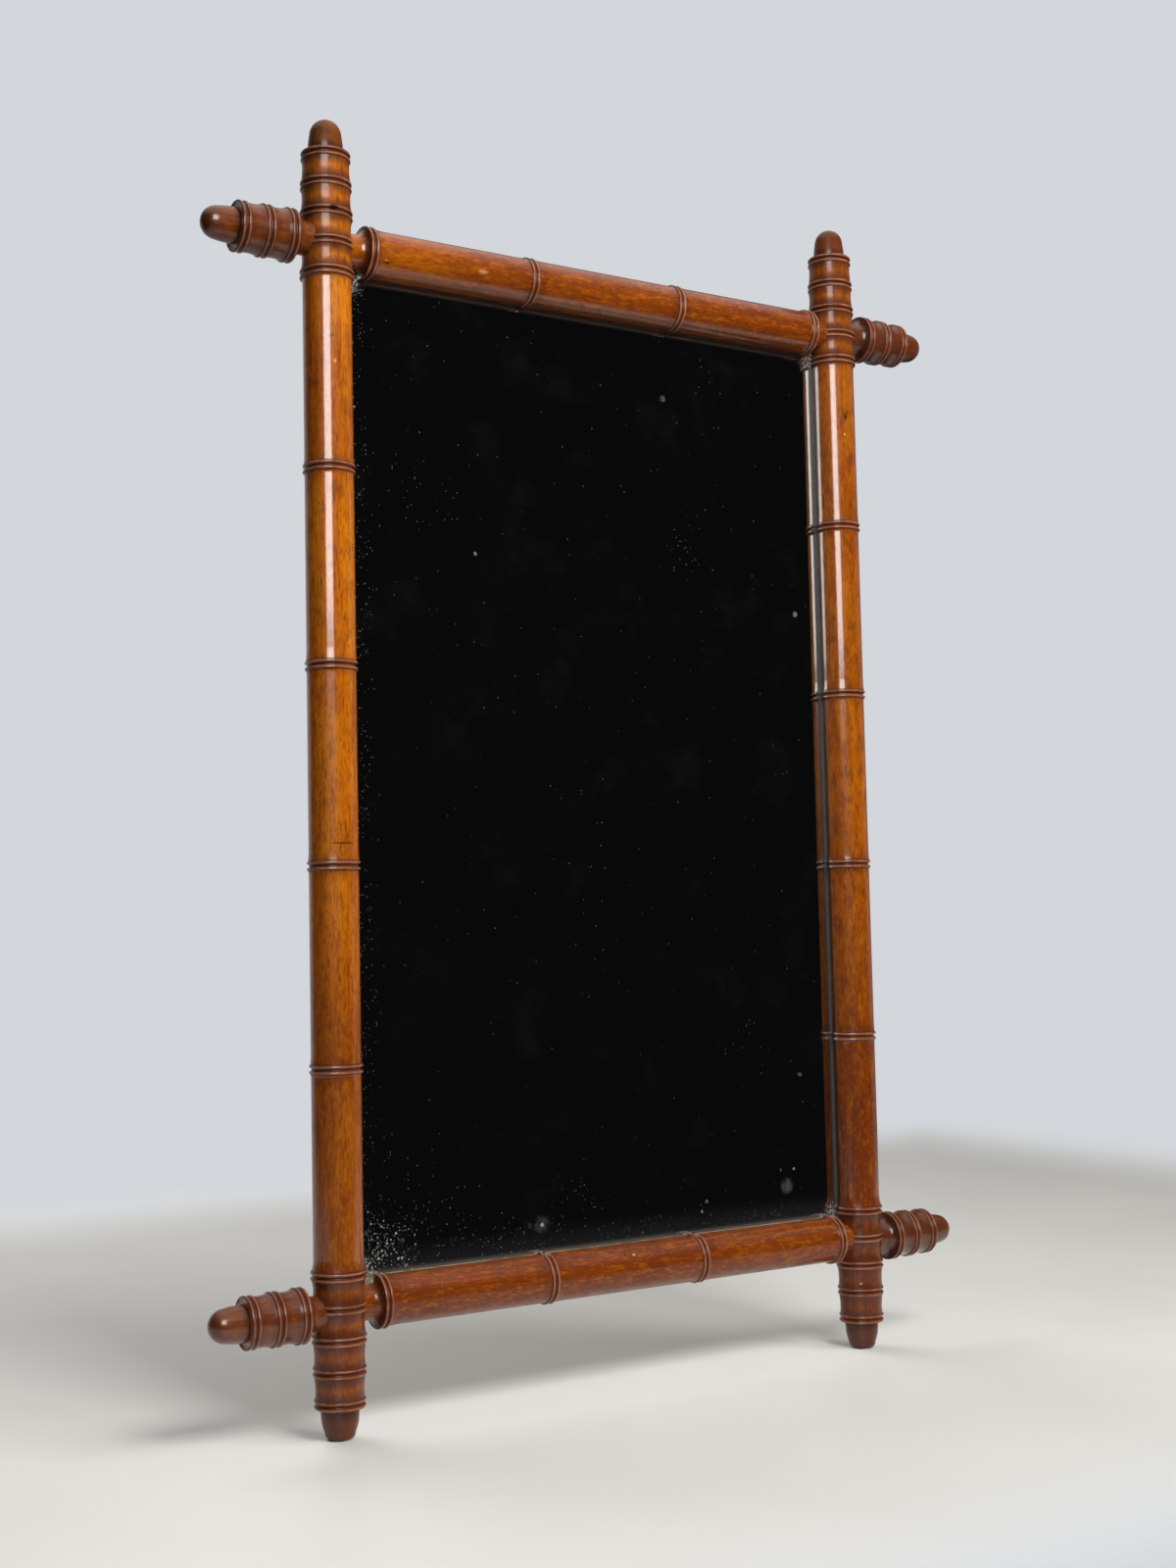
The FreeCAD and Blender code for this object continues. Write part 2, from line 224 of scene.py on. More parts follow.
# Knocks on the turnings: place, half lengths and colour
left_stile_marks = (
    ((-0.2313, -0.0380, 0.3921), (0.0045, 0.0050, 0.0030), groove_black),
    ((-0.2344, -0.0359, 0.3005), (0.0010, 0.0040, 0.0022), nick_dark),
    ((-0.2325, -0.0363, 0.3012), (0.0007, 0.0040, 0.0012), nick_dark),
    ((-0.2312, -0.0367, 0.2827), (0.0013, 0.0040, 0.0017), chip_pale),
    ((-0.2298, -0.0368, -0.0544), (0.0140, 0.0060, 0.0006), groove_black),
)
right_stile_marks = (
    ((0.2275, -0.0367, 0.2994), (0.0014, 0.0040, 0.0034), nick_dark),
    ((0.2292, -0.0367, 0.3030), (0.0008, 0.0040, 0.0022), nick_dark),
    ((0.2260, -0.0365, 0.2845), (0.0010, 0.0040, 0.0014), chip_pale),
    ((0.2300, -0.0368, -0.2490), (0.0013, 0.0040, 0.0012), nick_dark),
    ((0.2229, -0.0357, -0.2697), (0.0022, 0.0040, 0.0030), chestnut),
    ((0.2184, -0.0333, -0.4053), (0.0012, 0.0040, 0.0010), chip_pale),
)
top_rail_marks = (
    ((-0.1887, -0.0341, 0.3606), (0.0022, 0.0040, 0.0015), dark_ring),
    ((-0.1895, -0.0345, 0.3620), (0.0012, 0.0040, 0.0006), chip_pale),
    ((-0.1118, -0.0364, 0.3661), (0.0050, 0.0040, 0.0022), crest_highlight_and_wear_colour),
)
bottom_rail_marks = (
    ((-0.0042, -0.0320, -0.3580), (0.0012, 0.0040, 0.0009), nick_dark),
    ((-0.0247, -0.0368, -0.3707), (0.0016, 0.0040, 0.0007), nick_dark),
    ((0.0030, -0.0330, -0.3590), (0.0016, 0.0040, 0.0009), chip_pale),
)

# Spots on the plate: place across and up, radius, strength
mirror_spots = (
    (0.0606, 0.2986, 0.0034, 0.10),
    (0.0612, 0.2980, 0.0012, 0.25),
    (0.1865, 0.1351, 0.0028, 0.40),
    (-0.1100, 0.1605, 0.0018, 0.30),
    (-0.0642, -0.3328, 0.0082, 0.06),
    (-0.0642, -0.3328, 0.0020, 0.45),
    (-0.0745, -0.3325, 0.0026, 0.06),
    (0.1618, -0.3249, 0.0074, 0.10),
    (0.1560, -0.3120, 0.0014, 0.25),
    (0.1690, -0.3120, 0.0014, 0.35),
    (0.0835, -0.3300, 0.0020, 0.22),
    (0.0790, -0.3370, 0.0014, 0.25),
    (0.1780, -0.2380, 0.0024, 0.16),
)
# Specks: cell, share of it that a speck's radius takes, share kept, gathering it is spared under, strength
speck_sizes = (
    (0.0015, 0.38, 0.46, 0.00, 0.16),
    (0.0024, 0.34, 0.30, 0.46, 0.28),
    (0.0038, 0.32, 0.34, 0.80, 0.38),
)
# Smudges of fine specks: place across and up, half lengths, gathering
mirror_smudges = (
    (0.0250, -0.3480, 0.0200, 0.0140, 1.0),
    (0.1100, -0.2130, 0.0200, 0.0090, 0.9),
    (0.1270, -0.1950, 0.0120, 0.0110, 0.6),
    (-0.1536, 0.2037, 0.0500, 0.0420, 0.28),
    (0.0796, 0.1804, 0.0240, 0.0500, 0.26),
    (-0.1200, -0.3350, 0.0700, 0.0220, 0.75),
    (-0.0350, -0.3180, 0.0300, 0.0300, 0.36),
)


# Small helpers for node trees
def add_node(tree, kind, links=None, **settings):
    """A node with its settings, its sockets set to values or linked to other sockets."""
    made = tree.nodes.new(kind)
    for name, value in settings.items():
        setattr(made, name, value)
    for name, value in (links or {}).items():
        if isinstance(value, bpy.types.NodeSocket):
            tree.links.new(value, made.inputs[name])
        else:
            made.inputs[name].default_value = value
    return made


def maths(tree, operation, *values):
    """The result of a Math node on sockets or numbers."""
    links = {place: value for place, value in enumerate(values)}
    return add_node(tree, "ShaderNodeMath", links, operation=operation).outputs[0]


def product(tree, first, *others):
    """Sockets or numbers multiplied together."""
    for other in others:
        first = maths(tree, "MULTIPLY", first, other)
    return first


def largest(tree, first, *others):
    """The largest of some sockets or numbers."""
    for other in others:
        first = maths(tree, "MAXIMUM", first, other)
    return first


def span(tree, value, low, high, start=0.0, end=1.0):
    """A smooth step of a value from low to high."""
    links = {"Value": value, "From Min": low, "From Max": high, "To Min": start, "To Max": end}
    return add_node(tree, "ShaderNodeMapRange", links, interpolation_type="SMOOTHSTEP").outputs[0]


def blend(tree, share, first, second):
    """Two colours mixed by a share."""
    links = {0: share, 6: first, 7: second}
    return add_node(tree, "ShaderNodeMix", links, data_type="RGBA", clamp_factor=True).outputs[2]


def noise(tree, place, size, detail=3.0, roughness=0.55, shift=(0, 0, 0)):
    """A noise whose patches measure about size along each axis."""
    scale = tuple(1 / length for length in size)
    mapped = add_node(tree, "ShaderNodeMapping", {"Vector": place, "Scale": scale, "Location": shift})
    links = {"Vector": mapped.outputs[0], "Scale": 1.0, "Detail": detail, "Roughness": roughness}
    return add_node(tree, "ShaderNodeTexNoise", links).outputs[0]


def even(length):
    """The size of a patch as long as it is wide and deep."""
    return length, length, length


def near(tree, place, spot, reach, blur):
    """One near a spot, falling to none at its reach, an ellipsoid of three half lengths."""
    scale = tuple(1 / length for length in reach)
    moved = add_node(tree, "ShaderNodeVectorMath", {0: place, 1: spot}, operation="SUBTRACT")
    scaled = add_node(tree, "ShaderNodeVectorMath", {0: moved.outputs[0], 1: scale}, operation="MULTIPLY")
    off = add_node(tree, "ShaderNodeVectorMath", {0: scaled.outputs[0]}, operation="LENGTH")
    return span(tree, off.outputs["Value"], 1 - blur, 1.0, 1.0, 0.0)


def near_value(tree, value, middle, half):
    """One where a value is near a middle, falling to none at half its width."""
    off = maths(tree, "ABSOLUTE", maths(tree, "SUBTRACT", value, middle))
    return span(tree, off, half * 0.4, half, 1.0, 0.0)


def corner_distance(tree, across, up):
    """Distance from a corner, given those from its two edges."""
    both = add_node(tree, "ShaderNodeCombineXYZ", {0: across, 1: up})
    return add_node(tree, "ShaderNodeVectorMath", {0: both.outputs[0]}, operation="LENGTH").outputs["Value"]


def new_material(name):
    """A material with its tree, its shader and the place in the part."""
    made = bpy.data.materials.new(name)
    made.use_nodes = True
    tree = made.node_tree
    shader = tree.nodes["Principled BSDF"]
    place = add_node(tree, "ShaderNodeTexCoord").outputs["Object"]
    return made, tree, shader, place


def axes_of(tree, place):
    """The place along X, Y and Z."""
    parts = add_node(tree, "ShaderNodeSeparateXYZ", {0: place})
    return parts.outputs[0], parts.outputs[1], parts.outputs[2]


def bumped(tree, shader, height, strength, distance):
    """Fine relief on a shader."""
    links = {"Height": height, "Strength": strength, "Distance": distance}
    bump = add_node(tree, "ShaderNodeBump", links)
    tree.links.new(bump.outputs[0], shader.inputs["Normal"])


# Distance along a turning to the middle of its nearest ring, given the place along it
def stile_ring_distance(tree, run):
    shifted = maths(tree, "ADD", run, stile_internode / 2)
    plain = maths(tree, "PINGPONG", shifted, stile_internode / 2)
    past = maths(tree, "SUBTRACT", maths(tree, "ABSOLUTE", run), inboard_ring_z)
    held = maths(tree, "MINIMUM", past, (stile_corner_rings - 0.5) * corner_ring_spacing)
    corner = maths(tree, "PINGPONG", held, corner_ring_spacing / 2)
    beyond = maths(tree, "GREATER_THAN", past, 0.0)
    gap = maths(tree, "SUBTRACT", corner, plain)
    return maths(tree, "MULTIPLY_ADD", gap, beyond, plain)


def rail_ring_distance(tree, run):
    shifted = maths(tree, "ADD", run, rail_internode / 2)
    inner = maths(tree, "PINGPONG", shifted, rail_internode / 2)
    past = maths(tree, "SUBTRACT", maths(tree, "ABSOLUTE", run), rail_internode * rail_internodes / 2)
    return largest(tree, inner, past)


def finial_ring_distance(tree, run):
    out = maths(tree, "SUBTRACT", maths(tree, "ABSOLUTE", run), stile_x + side_ring_offset)
    started = largest(tree, out, -finial_ring_spacing / 2)
    held = maths(tree, "MINIMUM", started, (finial_rings - 0.5) * finial_ring_spacing)
    return maths(tree, "PINGPONG", held, finial_ring_spacing / 2)


class StainedWood:
    """The look of a turning, laid on layer by layer: stain, figure, rings, knocks, dirt, painted shade and
    highlights, and varnish.
    """

    def __init__(self, name, along, ring_distance):
        self.made, self.tree, self.shader, self.place = new_material(name)
        self.x, self.y, self.z = axes_of(self.tree, self.place)
        self.run = self.z if along == "z" else self.x
        self.distance = ring_distance(self.tree, self.run)
        self.figure = {}
        for kind, (across, length, detail, roughness, shift) in figure_noises.items():
            size = tuple(length if axis == along else across for axis in "xyz")
            self.figure[kind] = noise(self.tree, self.place, size, detail, roughness, shift)
        mottle = self.figure["mottle"]
        spread = maths(self.tree, "MULTIPLY_ADD", mottle, 2 * ring_stain_ragged, -ring_stain_ragged)
        ragged = maths(self.tree, "ADD", self.distance, spread)
        self.near_ring = span(self.tree, ragged, ring_stain_near, ring_stain_far, 1.0, 0.0)
        self.uncoated = []

    def paint(self, share, colour):
        self.body = blend(self.tree, share, self.body, colour)

    def figured(self, kind, *levels):
        return span(self.tree, self.figure[kind], *levels)

    def lay_stain(self, redness, mottling):
        """Honey, amber and chestnut, redder near the rings, with the grain over it; redder and darker from
        one end of the turning to the other, as redness gives.
        """
        self.body = blend(self.tree, self.figured("broad", 0.36, 0.66), amber, honey)
        self.paint(self.figured("patches", 0.46, 0.72, 0.0, 0.5), chestnut)
        # Redder and darker from one end of the turning to the other, set by redness
        start, middle, end = redness
        low_half = span(self.tree, self.run, -colour_run, 0.0, start, middle)
        high_half = span(self.tree, self.run, 0.0, colour_run, 0.0, end - middle)
        ground = maths(self.tree, "ADD", low_half, high_half)
        self.paint(maths(self.tree, "MULTIPLY_ADD", self.near_ring, 0.45, ground), red_brown)
        for kind, low, high, start_share, end_share, colour in figure_layers:
            self.paint(self.figured(kind, low, high, start_share, end_share), colour)
        self.paint(self.figured("mottle", 0.50, 0.70, 0.0, 0.30 + mottling), dark_ring)

    def deepen_corners(self):
        """The crossed ends of a stile: deeper brown, most at rings and tips, under a thinner varnish."""
        height = maths(self.tree, "ABSOLUTE", self.z)
        corner_start = inboard_ring_z - corner_stain_before
        at_corner = span(self.tree, height, corner_start, inboard_ring_z + corner_stain_past)
        at_tip = span(self.tree, height, stile_high.z - tip_stain_start, stile_high.z - tip_stain_full)
        browner = maths(self.tree, "MULTIPLY_ADD", self.near_ring, 0.80, product(self.tree, at_tip, 0.6))
        browner = maths(self.tree, "ADD", browner, 0.20)
        self.paint(product(self.tree, browner, at_corner), deep_brown)
        self.uncoated.append(product(self.tree, at_corner, 1 - corner_coat))

    def deepen_finials(self):
        """The finials are a deeper brown, the right ones most."""
        deep_share = span(self.tree, self.x, -colour_run, colour_run, 0.50, 0.80)
        self.paint(maths(self.tree, "MULTIPLY_ADD", self.near_ring, 0.20, deep_share), deep_brown)

    def shade_and_stain_necks(self):
        """Painted shade and dark stain in the hollow of a neck's flare, up against the first ring."""
        from_middle = maths(self.tree, "ABSOLUTE", self.x)
        from_stile = maths(self.tree, "ABSOLUTE", maths(self.tree, "SUBTRACT", from_middle, stile_x))
        flare_place = maths(self.tree, "SUBTRACT", side_ring_offset - lip_outer, from_stile)
        on_flare = maths(self.tree, "GREATER_THAN", flare_place, -flare_shade_and_stain_lap)
        # Painted shade: the flare's hollow darkens towards the first ring, partly shade and partly stain
        neck_shade_and_stain = span(self.tree, flare_place, flare_shade_and_stain_near, flare_shade_and_stain_far, 0.85, 0.0)
        self.paint(product(self.tree, on_flare, neck_shade_and_stain), groove_black)

    def stain_rings(self, crest_highlight_and_wear):
        """Dark stain held in the groove and at the feet of the lips; the crests painted paler, partly worn
        wood and partly a painted highlight.
        """
        at_ring = span(self.tree, self.distance, lip_outer, lip_outer + lip_stain_fade, 1.0, 0.0)
        self.paint(product(self.tree, at_ring, 0.75), ring_brown)
        in_groove = span(self.tree, self.distance, groove_half * 0.4, groove_half * 1.1, 1.0, 0.0)
        at_foot = near_value(self.tree, self.distance, lip_outer, foot_stain_half)
        hollow = largest(self.tree, in_groove, at_foot)
        self.paint(product(self.tree, hollow, 0.46), groove_black)
        # Painted highlight: the crests are painted paler, partly worn wood and partly standing in for the
        # glints on the lips
        crest = near_value(self.tree, self.distance, lip_gap / 2, lip_width * 0.45)
        crest_highlight_share = self.figured("mottle", 0.36, 0.60, crest_highlight_and_wear * 0.3, crest_highlight_and_wear)
        self.paint(product(self.tree, crest, crest_highlight_share), crest_highlight_and_wear_colour)
        self.uncoated.append(product(self.tree, hollow, 0.75))

    def darken_end_grain(self):
        """The end grain of the finials' tips drank more stain."""
        from_middle = maths(self.tree, "ABSOLUTE", self.x)
        tip_start = finial_end_x - end_grain_start
        tip_share = span(self.tree, from_middle, tip_start, finial_end_x - end_grain_full, 0.0, 0.85)
        self.paint(tip_share, dark_ring)

    def knock(self, marks):
        """Dark nicks and pale chips of use at their own places."""
        for spot, half_lengths, colour in marks:
            self.paint(near(self.tree, self.place, spot, half_lengths, 0.55), colour)

    def bare_back(self):
        """The planed back is bare wood."""
        self.behind = span(self.tree, self.y, planed_y - back_skin_start, planed_y - back_skin_full)
        self.paint(self.behind, blend(self.tree, self.figured("streaks", 0.35, 0.7), bare_pine, chestnut))
        self.uncoated.append(self.behind)

    def shade_and_dirt_at_glass(self, across, inner_edge, half_run):
        """Painted shade on the inner flank where the turning meets the plate, turning to olive dirt nearer
        the plate.
        """
        inner = maths(self.tree, "LESS_THAN", maths(self.tree, "ABSOLUTE", across), inner_edge)
        beside = maths(self.tree, "LESS_THAN", maths(self.tree, "ABSOLUTE", self.run), half_run)
        before = maths(self.tree, "LESS_THAN", self.y, planed_y - contact_back_margin)
        # Painted shade: the flank behind the axis, towards the plate, is painted near black, then olive dirt
        deep = span(self.tree, self.y, axis_y + contact_shade_start, axis_y + contact_shade_full)
        share = product(self.tree, deep, inner, beside, before, 0.85)
        olive_share = span(self.tree, self.y, axis_y + olive_start, axis_y + olive_full)
        self.paint(share, blend(self.tree, olive_share, groove_black, contact_olive))
        self.uncoated.append(share)

    def lay_dust(self):
        """Dust on the lower rail, along the plate and on top of its necks."""
        dust_start_z = turned_d * dust_start_share - rail_z
        above = span(self.tree, self.z, dust_start_z, turned_d * dust_full_share - rail_z)
        back_half = span(self.tree, self.y, axis_y + dust_depth_start, axis_y + dust_depth_full)
        lying = product(self.tree, above, back_half, self.figured("mottle", 0.36, 0.56, 0.25, 0.9))
        self.paint(lying, old_dust)
        neck_top = span(self.tree, self.z, neck_dust_low - rail_z, neck_dust_high - rail_z)
        neck_back = span(self.tree, self.y, axis_y - neck_dust_half_depth, axis_y + neck_dust_half_depth)
        neck_x = stile_x - side_ring_offset
        on_neck = span(self.tree, maths(self.tree, "ABSOLUTE", self.x), neck_x, neck_x + neck_dust_run)
        flaked = self.figured("flakes", 0.40, 0.56, 0.1, 0.95)
        caught = product(self.tree, neck_top, neck_back, on_neck, flaked)
        self.paint(caught, old_dust)
        self.uncoated += [lying, caught]

    def varnish(self, coat_share=1.0, coat_roughness=0.13):
        """A glossy old varnish over all but the bare, dirty and hollow places."""
        inputs = self.shader.inputs
        self.tree.links.new(self.body, inputs["Base Color"])
        gloss = self.figured("mottle", 0.3, 0.7, 0.30, 0.44)
        dulled = largest(self.tree, gloss, product(self.tree, self.behind, 0.8))
        self.tree.links.new(dulled, inputs["Roughness"])
        coated = maths(self.tree, "SUBTRACT", 1.0, largest(self.tree, *self.uncoated))
        self.tree.links.new(product(self.tree, coated, coat_share), inputs["Coat Weight"])
        inputs["Specular IOR Level"].default_value = 0.15
        inputs["Coat Roughness"].default_value = coat_roughness
        inputs["Coat IOR"].default_value = 1.52
        ridges = product(self.tree, self.figure["streaks"], 0.5)
        wave = maths(self.tree, "MULTIPLY_ADD", self.figure["pores"], 0.25, ridges)
        bumped(self.tree, self.shader, wave, 0.25, varnish_relief)
        return self.made


def stile_wood(name, redness, mottling, marks):
    """Colours of a stile, darker towards its foot; redness is given at its foot, its middle and its top."""
    wood = StainedWood(name, "z", stile_ring_distance)
    wood.lay_stain(redness, mottling)
    wood.deepen_corners()
    wood.stain_rings(crest_highlight_and_wear=0.60)
    wood.knock(marks)
    wood.bare_back()
    wood.shade_and_dirt_at_glass(wood.x, stile_x, inboard_ring_z)
    return wood.varnish()


def rail_wood(name, redness, mottling, marks, dusty=False, coat_share=1.0):
    """Colours of a rail; how red and dark it grows is given at its left, its middle and its right."""
    wood = StainedWood(name, "x", rail_ring_distance)
    wood.lay_stain(redness, mottling)
    wood.shade_and_stain_necks()
    wood.stain_rings(crest_highlight_and_wear=0.60)
    wood.knock(marks)
    wood.bare_back()
    wood.shade_and_dirt_at_glass(wood.z, rail_z - contact_rail_margin, stile_x)
    if dusty:
        wood.lay_dust()
    return wood.varnish(coat_share)


def finial_wood():
    """Stain of the side finials, deeper and duller than the rest."""
    wood = StainedWood("stained_finials", "x", finial_ring_distance)
    wood.lay_stain(redness=(0.65, 0.65, 0.65), mottling=0.35)
    wood.deepen_finials()
    wood.shade_and_stain_necks()
    wood.stain_rings(crest_highlight_and_wear=0.35)
    wood.darken_end_grain()
    wood.bare_back()
    return wood.varnish(coat_share=0.8, coat_roughness=0.20)


# The plate
def gathered_specks(tree, place, from_left, from_low, wander):
    """How thickly specks gather: at the lower left corner, along its two edges, and in smudges."""
    corner = corner_distance(tree, from_left, from_low)
    thick = span(tree, corner, thick_foxing_near, thick_foxing_far, 2.0, 0.0)
    thin = span(tree, corner, thin_foxing_near, thin_foxing_far, 0.50, 0.0)
    low_left = maths(tree, "MINIMUM", from_left, from_low)
    along_edge = span(tree, low_left, 0.0, edge_foxing_reach, 0.55, 0.012)
    gather = largest(tree, maths(tree, "ADD", thick, thin), along_edge)
    for spot_x, spot_z, half_across, half_up, strength in mirror_smudges:
        reach = (half_across, through_plate, half_up)
        smudge = near(tree, place, (spot_x, glass_front_y, spot_z), reach, 1.0)
        gather = largest(tree, gather, product(tree, smudge, strength))
    return product(tree, gather, span(tree, wander, 0.30, 0.62, 0.55, 1.1))


def specks(tree, place, gather, coarse):
    """Specks of three sizes: a cell holds one where its own random level falls under what gathers there."""
    layers = []
    for cell, radius_share, kept_share, spared, strength in speck_sizes:
        scaled = {"Vector": place, "Scale": 1 / cell, "Randomness": 1.0}
        cells = add_node(tree, "ShaderNodeTexVoronoi", scaled)
        chance = add_node(tree, "ShaderNodeSeparateColor", {0: cells.outputs["Color"]}).outputs[0]
        gathered = product(tree, maths(tree, "SUBTRACT", gather, spared), kept_share)
        kept = maths(tree, "LESS_THAN", chance, gathered)
        dot = span(tree, cells.outputs["Distance"], radius_share * 0.5, radius_share, 1.0, 0.0)
        flaked = span(tree, coarse, 0.36, 0.54, 0.25, 1.0)
        layers.append(product(tree, dot, flaked, kept, strength))
    return largest(tree, *layers)


def lost_silver(tree, place, coarse):
    """Single spots where the silver has gone."""
    layers = []
    for spot_x, spot_z, radius, strength in mirror_spots:
        spot = near(tree, place, (spot_x, glass_front_y, spot_z), (radius, through_plate, radius), 0.6)
        layers.append(product(tree, spot, span(tree, coarse, 0.35, 0.60, 0.25, 1.0), strength))
    return largest(tree, *layers)


def dust_haze(tree, place, from_side, from_low, from_top, wander):
    """Faint wiped patches, dust along the edges and the lower edge most, and flaked dust in the corners."""
    film = span(tree, wander, 0.50, 0.80, 0.0, 0.004)
    from_end = maths(tree, "MINIMUM", from_low, from_top)
    edge = maths(tree, "MINIMUM", from_side, from_end)
    rim = span(tree, edge, -rim_under_frame, rim_dust_reach, 0.10, 0.0)
    low_rim = span(tree, from_low, -rim_under_frame, low_haze_reach, 0.016, 0.0)
    nook_share = span(tree, corner_distance(tree, from_side, from_end), nook_near, nook_far, 1.0, 0.0)
    flaked = noise(tree, place, even(dust_flake), 3.0, 0.6, (4, 4, 9))
    nook = product(tree, nook_share, span(tree, flaked, 0.46, 0.64, 0.02, 0.40))
    return largest(tree, film, rim, low_rim, nook)


def silvered_glass():
    """A near black old mirror: silvered face, foxed at its edges, spotted and dusty, with a painted back."""
    made, tree, shader, place = new_material("silvered_glass")
    x, y, z = axes_of(tree, place)
    half_x = stile_x - turned_d / 2
    half_z = rail_z - turned_d / 2
    from_left = maths(tree, "ADD", x, half_x)
    from_side = maths(tree, "MINIMUM", from_left, maths(tree, "SUBTRACT", half_x, x))
    from_low = maths(tree, "ADD", z, half_z)
    from_top = maths(tree, "SUBTRACT", half_z, z)
    wander = noise(tree, place, even(wiped_patch), 4.0, 0.6)
    coarse = noise(tree, place, even(spot_flake), 4.0, 0.65, (7, 1, 3))
    gather = gathered_specks(tree, place, from_left, from_low, wander)
    spots = largest(tree, specks(tree, place, gather, coarse), lost_silver(tree, place, coarse))
    haze = dust_haze(tree, place, from_side, from_low, from_top, wander)
    front = span(tree, y, glass_front_y + silver_skin_full, glass_front_y + silver_skin_end, 1.0, 0.0)
    clouded = product(tree, largest(tree, spots, haze), front)

    silver = blend(tree, clouded, tone(196, 199, 198), tone(196, 200, 190))
    painted_back = tone(86, 44, 34)
    tree.links.new(blend(tree, front, painted_back, silver), shader.inputs["Base Color"])
    metal = product(tree, maths(tree, "SUBTRACT", 1.0, clouded), front)
    tree.links.new(metal, shader.inputs["Metallic"])
    rough = span(tree, clouded, 0.03, 0.30, 0.02, 0.5)
    back_rough = span(tree, front, 0.0, 1.0, 0.7, 0.0)
    tree.links.new(largest(tree, rough, back_rough), shader.inputs["Roughness"])
    return made


# The back and the hangers
def bare_wood(name, shift):
    """Old unfinished pine with dark lines and stains."""
    made, tree, shader, place = new_material(name)
    rings = noise(tree, place, pine_rings, 4.0, 0.6, (shift, 2, 5))
    lines = noise(tree, place, pine_lines, 3.0, 0.6, (1, shift, 3))
    stains = noise(tree, place, pine_stains, 3.0, 0.6, (shift, 5, 1))
    body = blend(tree, span(tree, rings, 0.38, 0.64), tone(168, 124, 76), tone(128, 86, 48))
    body = blend(tree, span(tree, lines, 0.48, 0.70, 0.0, 0.6), body, tone(92, 58, 32))
    body = blend(tree, span(tree, stains, 0.50, 0.72, 0.0, 0.7), body, tone(96, 68, 44))
    tree.links.new(body, shader.inputs["Base Color"])
    tree.links.new(span(tree, rings, 0.3, 0.7, 0.62, 0.8), shader.inputs["Roughness"])
    bumped(tree, shader, lines, 0.3, pine_relief)
    return made


def iron():
    """Dull iron, lightly rusted."""
    made, tree, shader, place = new_material("iron")
    rust = noise(tree, place, even(rust_patch))
    body = blend(tree, span(tree, rust, 0.42, 0.62), tone(62, 58, 54), tone(112, 66, 40))
    tree.links.new(body, shader.inputs["Base Color"])
    tree.links.new(span(tree, rust, 0.42, 0.62, 0.9, 0.1), shader.inputs["Metallic"])
    tree.links.new(span(tree, rust, 0.42, 0.62, 0.45, 0.8), shader.inputs["Roughness"])
    return made


def aged_brass():
    """Brass dulled by tarnish."""
    made, tree, shader, place = new_material("aged_brass")
    tarnish = noise(tree, place, even(tarnish_patch), 4.0, 0.6)
    body = blend(tree, span(tree, tarnish, 0.40, 0.66), tone(198, 158, 86), tone(116, 84, 44))
    tree.links.new(body, shader.inputs["Base Color"])
    shader.inputs["Metallic"].default_value = 1.0
    tree.links.new(span(tree, tarnish, 0.40, 0.66, 0.28, 0.5), shader.inputs["Roughness"])
    return made


def dress():
    """A material for each piece of the part."""
    finials = finial_wood()
    loose_wood = bare_wood("bare_wood", 1)
    brass = aged_brass()
    looks = {
        "left_stile": stile_wood("stained_left_stile", (0.64, 0.02, 0.0), 0.0, left_stile_marks),
        "right_stile": stile_wood("stained_right_stile", (1.05, 0.35, 0.55), 0.2, right_stile_marks),
        "top_rail": rail_wood("stained_top_rail", (0.32, 0.88, 1.12), 0.0, top_rail_marks),
        "bottom_rail": rail_wood("stained_bottom_rail", (0.92, 0.95, 0.82), 0.15, bottom_rail_marks,
                                 dusty=True, coat_share=0.5),
        "mirror_glass": silvered_glass(),
        "glass_wedges": loose_wood,
        "tenon_pegs": loose_wood,
        "back_nails": iron(),
        "back_plank_left": bare_wood("bare_plank_left", 3),
        "back_plank_middle": bare_wood("bare_plank_middle", 7),
        "back_plank_right": bare_wood("bare_plank_right", 11),
    }
    for corner in ("top_left", "top_right", "bottom_left", "bottom_right"):
        looks["finial_" + corner] = finials
    for side in ("left", "right"):
        looks["hanger_post_" + side] = brass
        looks["hanger_ring_" + side] = brass
    for name, look in looks.items():
        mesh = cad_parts[name].data
        mesh.materials.clear()
        mesh.materials.append(look)


def make_floor():
    """A pale floor whose edges fade out into the backdrop."""
    corners = [(-floor_half_width, floor_front, floor_z), (floor_half_width, floor_front, floor_z),
               (floor_half_width, floor_back, floor_z), (-floor_half_width, floor_back, floor_z)]
    mesh = bpy.data.meshes.new("floor")
    mesh.from_pydata(corners, [], [(0, 1, 2, 3)])
    made = bpy.data.objects.new("floor", mesh)
    bpy.context.scene.collection.objects.link(made)
    look, tree, shader, place = new_material("floor")
    x, y, z = axes_of(tree, place)
    worn = span(tree, noise(tree, place, even(floor_patch)), 0.3, 0.7)
    body = blend(tree, worn, tone(*floor_colour), tone(*worn_floor_colour))
    tree.links.new(body, shader.inputs["Base Color"])
    shader.inputs["Roughness"].default_value = 0.38
    side = maths(tree, "SUBTRACT", floor_half_width, maths(tree, "ABSOLUTE", x))
    depth = maths(tree, "SUBTRACT", floor_back, y)
    faded = span(tree, maths(tree, "MINIMUM", side, depth), 0.0, floor_feather)
    front = span(tree, y, floor_front, floor_front + front_feather)
    tree.links.new(product(tree, faded, front), shader.inputs["Alpha"])
    mesh.materials.append(look)


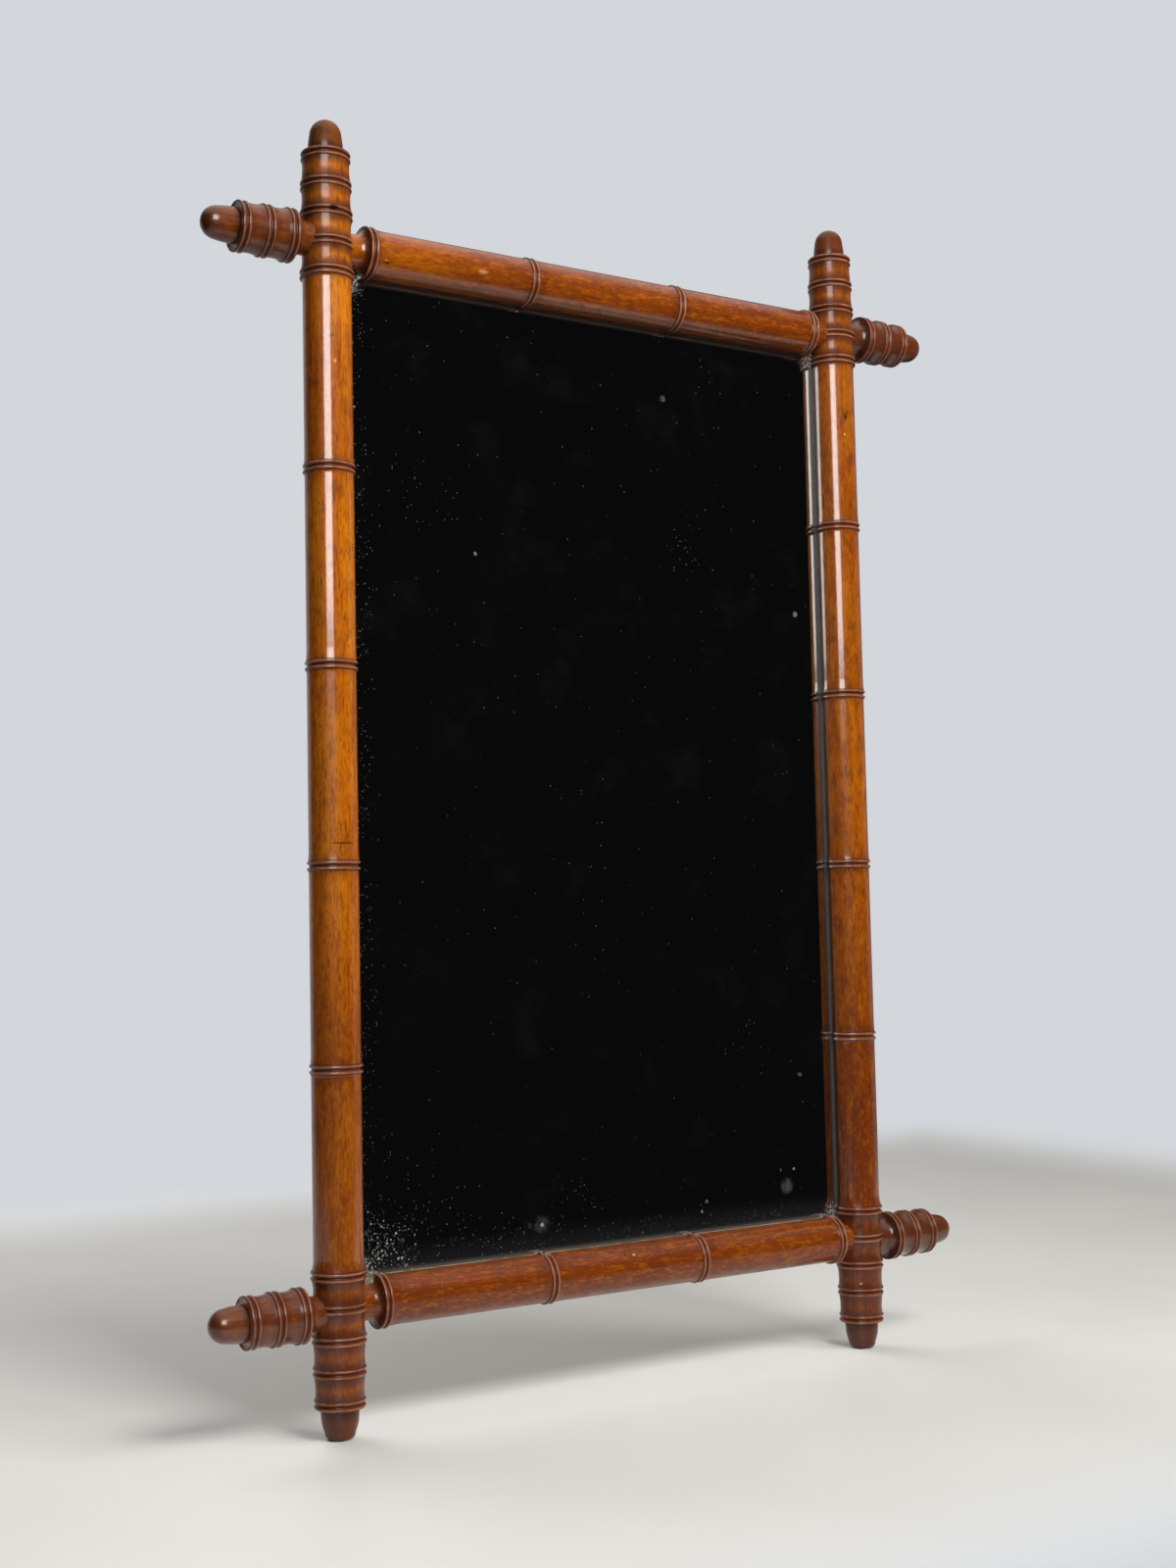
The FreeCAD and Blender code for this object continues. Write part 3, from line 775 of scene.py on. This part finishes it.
def make_world():
    """Pale to the camera; for other rays a dark room with a pale ceiling, right side and wall behind."""
    made = bpy.data.worlds.new("studio")
    bpy.context.scene.world = made
    made.use_nodes = True
    tree = made.node_tree
    toward = add_node(tree, "ShaderNodeTexCoord").outputs["Generated"]
    x, y, z = axes_of(tree, toward)
    room = blend(tree, span(tree, x, 0.80, 0.98), tone(*room_dark), tone(*side_glow))
    room = blend(tree, span(tree, y, 0.60, 0.98), room, tone(*wall_glow))
    room = blend(tree, span(tree, z, 0.52, 0.95), room, tone(*ceiling_glow))
    path = add_node(tree, "ShaderNodeLightPath")
    room = blend(tree, path.outputs["Is Diffuse Ray"], room, tone(*room_fill))
    seen = blend(tree, path.outputs["Is Camera Ray"], room, tone(*backdrop_colour))
    tree.links.new(seen, tree.nodes["Background"].inputs["Color"])


def make_lights():
    """A window that shines in the varnish, a near key, and soft fill from the right and from behind."""
    for name, (place, aim, width, height, watts, mirrored) in lamps.items():
        data = bpy.data.lights.new(name, "AREA")
        data.shape = "RECTANGLE"
        data.size = width
        data.size_y = height
        data.energy = watts
        data.color = lamp_colour
        made = bpy.data.objects.new(name, data)
        made.location = place
        made.rotation_euler = (Vector(aim) - Vector(place)).to_track_quat("-Z", "Y").to_euler()
        made.visible_camera = False
        made.visible_glossy = mirrored
        made.visible_diffuse = not mirrored
        bpy.context.scene.collection.objects.link(made)


def make_camera():
    """The photograph's camera."""
    data = bpy.data.cameras.new("photo_camera")
    data.sensor_fit = "AUTO"
    data.sensor_width = sensor_mm
    data.lens = sensor_mm * focal_px / image_height_px
    data.clip_start = camera_near
    data.clip_end = camera_far
    made = bpy.data.objects.new("photo_camera", data)
    upright = Matrix.Rotation(math.pi / 2, 4, "X")
    heading = Matrix.Rotation(-math.radians(camera_heading_deg), 4, "Z")
    pitch = Matrix.Rotation(math.radians(camera_pitch_deg), 4, "X")
    roll = Matrix.Rotation(-math.radians(camera_roll_deg), 4, "Z")
    made.matrix_world = Matrix.Translation(camera_place) @ heading @ upright @ pitch @ roll
    bpy.context.scene.collection.objects.link(made)
    bpy.context.scene.camera = made


dress()
make_floor()
make_world()
make_lights()
make_camera()
bpy.context.scene.view_settings.view_transform = "Standard"
